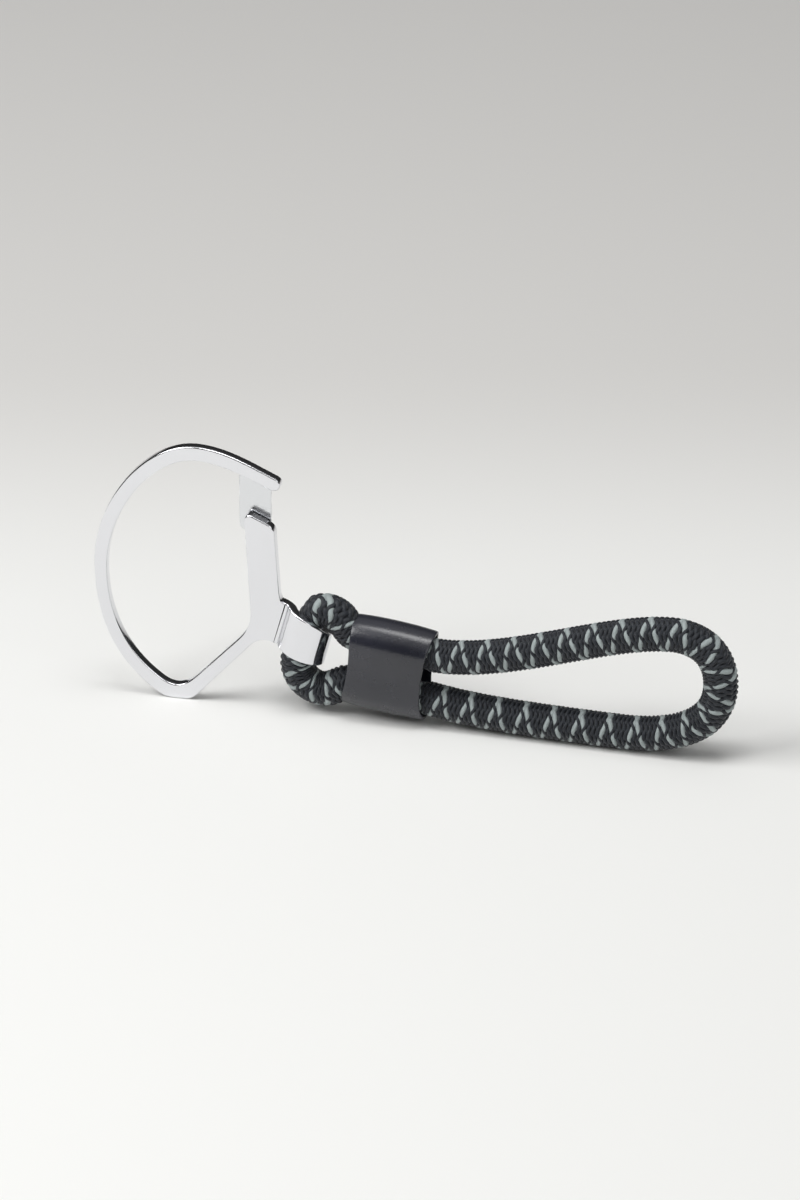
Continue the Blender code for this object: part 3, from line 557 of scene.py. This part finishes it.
def stadium(half_h, half_w, count=26, flat=8):
    """Outline of the sleeve as (y, z): count steps round each end, flat points on each straight side."""
    c = half_h - half_w
    out = []
    for turn, sign in ((0.0, 1), (math.pi, -1)):
        for i in range(count + 1):
            a = turn + math.pi * i / count
            out.append((half_w * math.cos(a), sign * c + half_w * math.sin(a)))
    first, second = out[:count + 1], out[count + 1:]
    levels = [c - 2 * c * k / (flat + 1) for k in range(1, flat + 1)]
    front = [(-half_w, z) for z in levels]
    seam = [(half_w - SEAM_DEPTH * share, SEAM_W * at) for at, share in SEAM_PROFILE]
    back = [(half_w, -z) for z in levels if abs(z) > SEAM_W]
    back = [p for p in back if p[1] < 0] + seam + [p for p in back if p[1] > 0]
    return first + front + second + back


def sleeve_row(u, inset, cut=0.0):
    """One row of points round the leather at u, inset from its outside and cut back from its end."""
    half_h, half_w = SLEEVE_H / 2, SLEEVE_W / 2
    f = pinch(u)
    out = []
    for y, z in stadium(half_h * f - inset, half_w * f - inset):
        t = z / half_h
        reach = SLEEVE_LEN / 2 - SLEEVE_DISH * (1.0 - t * t) - cut
        if u < 0 and z > 0:
            reach -= SLEEVE_SLANT * t * t
        dip = LEATHER_DIP * math.cos(math.pi * z / STRAND_OFF) * (abs(y) > 0.6 * half_w)
        out.append(sleeve_point(reach * u, z, y * (1.0 - dip / half_w * (1.0 - 0.4 * u * u))))
    return out


def build_sleeve():
    rim = []
    for k in range(LIP_STEPS + 1):
        a = 0.5 * math.pi * k / LIP_STEPS
        rim.append((LEATHER_LIP * (1 - math.sin(a)), LEATHER_LIP * (1 - math.cos(a))))
    rows = [sleeve_row(-1.0, inset, cut) for inset, cut in rim]
    rows += [sleeve_row(2.0 * r / SLEEVE_ROWS - 1.0, 0.0) for r in range(1, SLEEVE_ROWS)]
    rows += [sleeve_row(1.0, inset, cut) for inset, cut in reversed(rim)]
    rows += [sleeve_row(u, LEATHER_T - LEATHER_SKIVE * u * u) for u in SLEEVE_INSIDE]
    count, total = len(rows[0]), len(rows)
    verts = [place_on_loop(p) for row in rows for p in row]
    faces = []
    for a in range(total):
        b = (a + 1) % total
        for i in range(count):
            j = (i + 1) % count
            faces.append((a * count + i, a * count + j, b * count + j, b * count + i))
    outward(mesh_piece("leather_tube", verts, faces, [LEATHER], "loop", ["leather_sleeve"]))


def stitch_line(start, end):
    """From under the leather at one hole, over it, and down into the next hole."""
    out = []
    for i in range(STITCH_POINTS + 1):
        t = i / STITCH_POINTS
        along, up = start[0] + (end[0] - start[0]) * t, start[1] + (end[1] - start[1]) * t
        lift = STITCH_LIFT * min(1.0, STITCH_STEEP * math.sin(math.pi * t)) - STITCH_SUNK
        out.append(sleeve_point(along, up, SLEEVE_W / 2 * pinch(2 * along / SLEEVE_LEN) + lift))
    return out


def ply(middle, phase, verts, faces, uvs):
    """One ply of the thread, wound round the stitch's middle line."""
    run, sides = 0.0, PLY_SIDES
    for i, p in enumerate(middle):
        d = (middle[min(i + 1, len(middle) - 1)] - middle[max(i - 1, 0)]).normalized()
        side = d.cross(TO_BACK).normalized()
        lift = side.cross(d)
        run += (p - middle[i - 1]).length if i else 0.0
        turn = 2 * math.pi * run / PLY_LAY + phase
        centre = p + PLY_OFF * (math.cos(turn) * side + math.sin(turn) * lift)
        for k in range(sides):
            a = 2 * math.pi * k / sides
            verts.append(centre + PLY_R * (math.cos(a) * side + math.sin(a) * lift))
            uvs.append((run / UV_LENGTH, k / sides))
        if i:
            a = len(verts) - 2 * sides
            for k in range(sides):
                j = (k + 1) % sides
                faces.append((a + k, a + j, a + sides + j, a + sides + k))


def build_stitches():
    holes = []
    for k in range(2 * STITCHES + 1):
        holes.append((STITCH_RUN * (k / (2 * STITCHES) - 0.5), STITCH_RISE if k % 2 else -STITCH_RISE))
    verts, faces, uvs = [], [], []
    for start, end in zip(holes, holes[1:]):
        for phase in (0.0, math.pi):
            ply(stitch_line(start, end), phase, verts, faces, uvs)
    mesh_piece("seam_stitches", [place_on_loop(v) for v in verts], faces, [THREAD], "loop",
               ["seam_thread"], None, uvs)


build_sleeve()
build_stitches()


# ============================================================ steel plates
EDGE_R, EDGE_STEPS = 0.28, 5
LEAF_EDGE_R, LEAF_EDGE_STEPS, LEAF_CORNER = 0.1, 3, 1.0
LEAF_NECK = (0.15, 1.40)         # the leaf widens between these heights above its bending line
LEAF_ROWS, LEAF_ROWS_REACH = 26, 3.0    # cross rows about its bending line, and how far they reach each way
CORNER_PULL, ROUND_PULL = 0.58, 0.45    # how far a handle of a corner and of a round end reaches
POST_TOP_L, POST_TOP_R = (12.1, 36.2), (17.6, 34.7)
CREASE_R, CURL_END = 0.4, 142.0
TAB_ROOT = (0.9, 0.25, 0.1)      # the tab starts inside the plate, left of its bend, to be one with it
TAB_THIN = 0.012                 # its faces lie this far under the plate's there
BEND_STEPS, CURL_STEPS = 12, 150
RIM_TOP_AT, RIM_TOP_SLOPE = (24.1, 19.0), math.radians(-25.0)
RIM_LOW_AT, RIM_LOW_SLOPE = (22.0, 11.2), math.radians(-22.0)
RIM_TOP_SIDE, RIM_LOW_SIDE = 1.4, -4.9
RIM_TOP_END, RIM_LOW_END = 1.0, -4.6
PLATE_STEP = 0.16                # spacing of the points of a plate's outline
ACROSS = Vector((math.cos(EYE_LEAN), 0.0, -math.sin(EYE_LEAN)))
EYE = Vector((EYE_X, 0.0, EYE_Z))


def curve(a, b, c, d):
    return bezier(a, b, c, d, PLATE_STEP)


def straight(a, b):
    a, b = Vector(a), Vector(b)
    count = max(2, int((b - a).length / (4 * PLATE_STEP)))
    return [a.lerp(b, i / count) for i in range(count)]


def rounded(a, apex, d):
    """A rounded corner from a to d whose two sides meet at apex."""
    a, apex, d = Vector(a), Vector(apex), Vector(d)
    return curve(a, a.lerp(apex, CORNER_PULL), d.lerp(apex, CORNER_PULL), d)


def rim_height(across, top):
    """Height along the eye's axis of a straight tab edge, across mm to the right of the axis."""
    at, slope = (RIM_TOP_AT, RIM_TOP_SLOPE) if top else (RIM_LOW_AT, RIM_LOW_SLOPE)
    normal = Vector((-math.sin(slope), 0.0, math.cos(slope)))
    return (Vector((at[0], 0.0, at[1])) - EYE - ACROSS * across).dot(normal) / AXIS.dot(normal)


def bend_centre():
    """Centre (across, y) of the bend that turns the tab out of the plate."""
    mid, r = EYE_R - PLATE_T / 2, CREASE_R + PLATE_T / 2
    return -math.sqrt((mid + r) ** 2 - (EYE_Y + r) ** 2), -r


def tab_corner(top):
    across = bend_centre()[0] - TAB_ROOT[2]
    p = EYE + ACROSS * across + AXIS * rim_height(across, top)
    return (p.x, p.z)


def frame_outline():
    top, left = (3.2, 49.8), (-15.5, 25.2)
    low, high = tab_corner(False), tab_corner(True)
    pts = curve((17.8, 45.2), (13.5, 47.1), (8.6, 49.8), top)
    pts += curve(top, (-5.8, 49.8), (-15.5, 37.4), left)
    pts += curve(left, (-15.5, 14.0), (-11.7, 6.4), (-4.6, 1.2))
    pts += curve((-4.6, 1.2), (-3.4, 0.32), (-2.6, 0.0), (-1.2, 0.0))
    pts += straight((-1.2, 0.0), (0.9, 0.0))
    pts += curve((0.9, 0.0), (2.0, 0.0), (2.7, 0.6), (3.6, 1.6))
    pts += straight((3.6, 1.6), (12.8, 11.8))
    pts += curve((12.8, 11.8), (13.9, 13.0), (15.2, 13.9), low)
    pts += straight(low, high)
    pts += curve(high, (18.7, 21.0), (18.4, 21.9), (18.3, 23.6))
    pts += straight((18.3, 23.6), POST_TOP_R)
    pts += rounded(POST_TOP_R, (17.5, 35.7), (16.6, 36.1))
    pts += straight((16.6, 36.1), (13.5, 37.5))
    pts += rounded((13.5, 37.5), (12.1, 38.1), POST_TOP_L)
    pts += straight(POST_TOP_L, (13.1, 18.9))
    pts += curve((13.1, 18.9), (13.2, 16.2), (12.4, 14.7), (10.5, 12.7))
    pts += straight((10.5, 12.7), (3.0, 4.8))
    pts += curve((3.0, 4.8), (0.5, 2.15), (-1.5, 2.3), (-3.4, 3.7))
    pts += curve((-3.4, 3.7), (-9.3, 7.9), (-13.3, 14.7), (-13.2, 24.4))
    pts += curve((-13.2, 24.4), (-13.2, 35.5), (-4.6, 47.1), (3.4, 47.1))
    pts += curve((3.4, 47.1), (7.7, 47.1), (12.4, 45.0), (16.9, 43.0))
    pts += curve((16.9, 43.0), (18.5, 42.3), (19.5, 44.5), (17.8, 45.2))
    return pts


def leaf_middle():
    return 0.5 * (LEAF_LEFT + LEAF_RIGHT)


def leaf_outline():
    """The whole leaf, from its broad tip down to the round end of its root."""
    left, right, r = LEAF_LEFT, LEAF_RIGHT, LEAF_CORNER
    mid, root = leaf_middle() + LEAF_OFF, 0.5 * LEAF_ROOT_W
    a, b = mid - root, mid + root
    neck, wide = LEAF_BEND + LEAF_NECK[0], LEAF_BEND + LEAF_NECK[1]
    low, pull = LEAF_LOW, ROUND_PULL * root
    pts = curve((b, neck), (b, wide), (right, wide), (right, LEAF_SHOULDER))
    pts += straight((right, LEAF_SHOULDER), (right, LEAF_TOP - r))
    pts += rounded((right, LEAF_TOP - r), (right, LEAF_TOP), (right - r, LEAF_TOP))
    pts += straight((right - r, LEAF_TOP), (left + r, LEAF_TOP))
    pts += rounded((left + r, LEAF_TOP), (left, LEAF_TOP), (left, LEAF_TOP - r))
    pts += straight((left, LEAF_TOP - r), (left, LEAF_SHOULDER))
    pts += curve((left, LEAF_SHOULDER), (left, wide), (a, wide), (a, neck))
    pts += straight((a, neck), (a, low + root))
    pts += curve((a, low + root), (a, low + pull), (a + pull, low), (mid, low))
    pts += curve((mid, low), (b - pull, low), (b, low + pull), (b, low + root))
    pts += straight((b, low + root), (b, neck))
    return pts


def plate(outline, y0, y1, edge, steps):
    """Corners and faces of a flat plate with rounded long edges, cut to an X-Z outline."""
    clean = [p for p, q in zip(outline, outline[1:] + outline[:1]) if (q - p).length > 1e-4]
    count = len(clean)
    area = sum(p.x * q.y - q.x * p.y for p, q in zip(clean, clean[1:] + clean[:1]))
    inward = []
    for i in range(count):
        d = (clean[(i + 1) % count] - clean[i - 1]).normalized()
        inward.append(Vector((-d.y, d.x)) * (1.0 if area > 0 else -1.0))
    verts, faces = [], []
    for y, way, order in ((y0, 1.0, range(steps + 1)), (y1, -1.0, range(steps, -1, -1))):
        for k in order:
            t = 0.5 * math.pi * k / steps
            inset, drop = edge * (1.0 - math.sin(t)), edge * (1.0 - math.cos(t))
            for p, n in zip(clean, inward):
                q = p + n * inset
                verts.append(Vector((q.x, y + way * drop, q.y)))
    rings = len(verts) // count
    for k in range(rings - 1):
        for i in range(count):
            j = (i + 1) % count
            faces.append((k * count + i, k * count + j, (k + 1) * count + j, (k + 1) * count + i))
    faces.append(tuple(range(count - 1, -1, -1)))
    faces.append(tuple(range((rings - 1) * count, rings * count)))
    return verts, faces


def tab_path():
    """Middle line of the tab as (across, y, normal angle, stage); the normal points outwards.

    The stage is -1 inside the plate, 0 in front, rises to 1 round the side and to 2 at the free end."""
    cx, cy = bend_centre()
    r, mid = CREASE_R + PLATE_T / 2, EYE_R - PLATE_T / 2
    turn = math.atan2(EYE_Y - cy, -cx)
    out = [(cx - back, 0.0, -90.0, -1.0) for back in TAB_ROOT[:2]]
    for i in range(BEND_STEPS + 1):
        a = math.radians(90.0) + (turn - math.radians(90.0)) * i / BEND_STEPS
        out.append((cx + r * math.cos(a), cy + r * math.sin(a), math.degrees(a) - 180.0, 0.0))
    start = math.degrees(turn) - 180.0
    for i in range(1, CURL_STEPS + 1):
        d = start + (CURL_END - start) * i / CURL_STEPS
        stage = 0.0
        if d > -90.0:
            stage = min(1.0, (d + 90.0) / 90.0)
        if d > 0.0:
            stage = 1.0 + d / CURL_END
        a = math.radians(d)
        out.append((mid * math.cos(a), EYE_Y + mid * math.sin(a), d, stage))
    return out


def edge_height(across, stage, top):
    """The tab's edges are straight in front and then run round the side to the free end."""
    side, end = (RIM_TOP_SIDE, RIM_TOP_END) if top else (RIM_LOW_SIDE, RIM_LOW_END)
    front = rim_height(min(across, 0.0) if stage > 0 else across, top)
    if stage <= 0.0:
        return front
    if stage <= 1.0:
        k = 0.45 * stage + 0.55 * eased(stage)
        return front + (side - front) * k
    return side + (end - side) * (stage - 1.0)


def curled_tab():
    """Corners and faces of the tab: bent forwards out of the plate, then curled round the cord."""
    verts, faces, width, steps = [], [], 0, EDGE_STEPS
    for across, y, normal, stage in tab_path():
        a = math.radians(normal)
        thin = TAB_THIN if stage < 0 else 0.0
        before = len(verts)
        for top, front in ((True, True), (True, False), (False, False), (False, True)):
            for k in range(steps + 1):
                t = 0.5 * math.pi * (k / steps if top == front else 1.0 - k / steps)
                off = (PLATE_T / 2 - thin - EDGE_R * (1 - math.cos(t))) * (1 if front else -1)
                drop = EDGE_R * (1 - math.sin(t)) + thin
                u, v = across + off * math.cos(a), y + off * math.sin(a)
                h = edge_height(u, stage, top) + (-drop if top else drop)
                p = EYE + ACROSS * u + AXIS * h
                verts.append(Vector((p.x, v, p.z)))
        width = len(verts) - before
        if before:
            lo, hi = before - width, before
            for i in range(width):
                j = (i + 1) % width
                faces.append((lo + i, lo + j, hi + j, hi + i))
    faces += [tuple(reversed(range(width))), tuple(range(len(verts) - width, len(verts)))]
    return verts, faces


def flat_normals(ob, weight):
    """Keeps the broad faces flat where they meet the fine rounding of their edges."""
    mod = ob.modifiers.new("normals", "WEIGHTED_NORMAL")
    mod.weight = weight
    mod.keep_sharp = False


def build_ring():
    verts, faces = plate(frame_outline(), -PLATE_T / 2, PLATE_T / 2, EDGE_R, EDGE_STEPS)
    more, more_faces = curled_tab()
    faces += [tuple(i + len(verts) for i in f) for f in more_faces]
    verts += more
    ob = mesh_piece("polished_ring", [place(v) for v in verts], faces, [POLISHED], "ring",
                    ["ring_frame"])
    outward(ob)
    flat_normals(ob, 100)


def build_leaf():
    y0 = PLATE_T / 2 + LEAF_GAP
    verts, faces = plate(leaf_outline(), y0, y0 + LEAF_T, LEAF_EDGE_R, LEAF_EDGE_STEPS)
    ob = mesh_piece("spring_leaf", [place(v) for v in verts], faces, [SPRING], None,
                    ["gate_leaf_root", "gate_leaf_tip"])
    bm = bmesh.new()
    bm.from_mesh(ob.data)
    for k in range(LEAF_ROWS + 1):
        z = LEAF_BEND + LEAF_ROWS_REACH * (2.0 * k / LEAF_ROWS - 1.0)
        bmesh.ops.bisect_plane(bm, geom=bm.verts[:] + bm.edges[:] + bm.faces[:], dist=1e-7,
                               plane_co=place((0.0, 0.0, z)), plane_no=(0.0, 0.0, 1.0))
    bm.to_mesh(ob.data)
    bm.free()
    outward(ob)
    flat_normals(ob, 100)
    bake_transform(ob)


def dress(ob, mat):
    """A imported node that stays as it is: welded, smooth and with a procedural material."""
    ob.data.materials.clear()
    ob.data.materials.append(mat)
    ob.data.polygons.foreach_set("use_smooth", [True] * len(ob.data.polygons))
    weld = ob.modifiers.new("weld", "WELD")
    weld.merge_threshold = 2e-6
    flat_normals(ob, 90)


build_ring()
build_leaf()
for node, mat in (("leaf_rivet_upper", RIVET), ("leaf_rivet_lower", RIVET), ("crimp_ferrule", FERRULE)):
    dress(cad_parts[node], mat)
for k in range(7):
    dress(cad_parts["core_yarn_%d" % k], CORE_YARN)


# ============================================================ studio
LIGHTS = (("key softbox", (-0.50, -0.30, 0.60), (0.5, 0.4), 3.9),       # place and size in metres, watts
          ("fill softbox", (0.55, -0.75, 0.55), (0.7, 0.5), 2.0),
          ("top softbox", (0.05, -0.10, 0.90), (0.5, 0.3), 2.8))
LIT = Vector((0.0, 0.0, 0.03))           # the point that they face
SKY = ((0.0, 0.05), (0.55, 0.06), (0.75, 0.7), (1.0, 1.0))      # dark low down, bright overhead
SKY_STRENGTH = 0.5
FLOOR_HALF = 3.0
# The far floor colour is painted shade for the dimmer back of the set.
FLOOR_NEAR, FLOOR_SHADED_FAR, FLOOR_FADE = (0.88, 0.88, 0.86), (0.72, 0.71, 0.69), (0.04, 0.16)


def area_light(name, at, size, power):
    data = bpy.data.lights.new(name, "AREA")
    data.shape = "RECTANGLE"
    data.size, data.size_y = size
    data.energy = power
    ob = bpy.data.objects.new(name, data)
    STUDIO.objects.link(ob)
    at = Vector(at)
    turn = (at - LIT).to_track_quat("Z", "Y").to_matrix().to_4x4()
    ob.matrix_world = Matrix.Translation(at) @ turn


def build_studio():
    me = bpy.data.meshes.new("floor")
    bm = bmesh.new()
    bmesh.ops.create_grid(bm, x_segments=4, y_segments=4, size=FLOOR_HALF)
    bm.to_mesh(me)
    bm.free()
    floor = bpy.data.objects.new("floor", me)
    me.materials.append(pale_floor("pale floor", FLOOR_NEAR, FLOOR_SHADED_FAR, *FLOOR_FADE))
    STUDIO.objects.link(floor)
    for light in LIGHTS:
        area_light(*light)
    world = bpy.data.worlds.new("studio")
    bpy.context.scene.world = world
    world.use_nodes = True
    tree = world.node_tree
    back = tree.nodes["Background"]
    coords = tree.nodes.new("ShaderNodeTexCoord")
    split = tree.nodes.new("ShaderNodeSeparateXYZ")
    tree.links.new(coords.outputs["Generated"], split.inputs["Vector"])
    ramp = tree.nodes.new("ShaderNodeValToRGB")
    tree.links.new(split.outputs["Z"], ramp.inputs["Fac"])
    set_stops(ramp.color_ramp, [(at, grey(v)) for at, v in SKY])
    tree.links.new(ramp.outputs["Color"], back.inputs["Color"])
    back.inputs["Strength"].default_value = SKY_STRENGTH
    bpy.context.scene.view_settings.view_transform = "Standard"


build_studio()
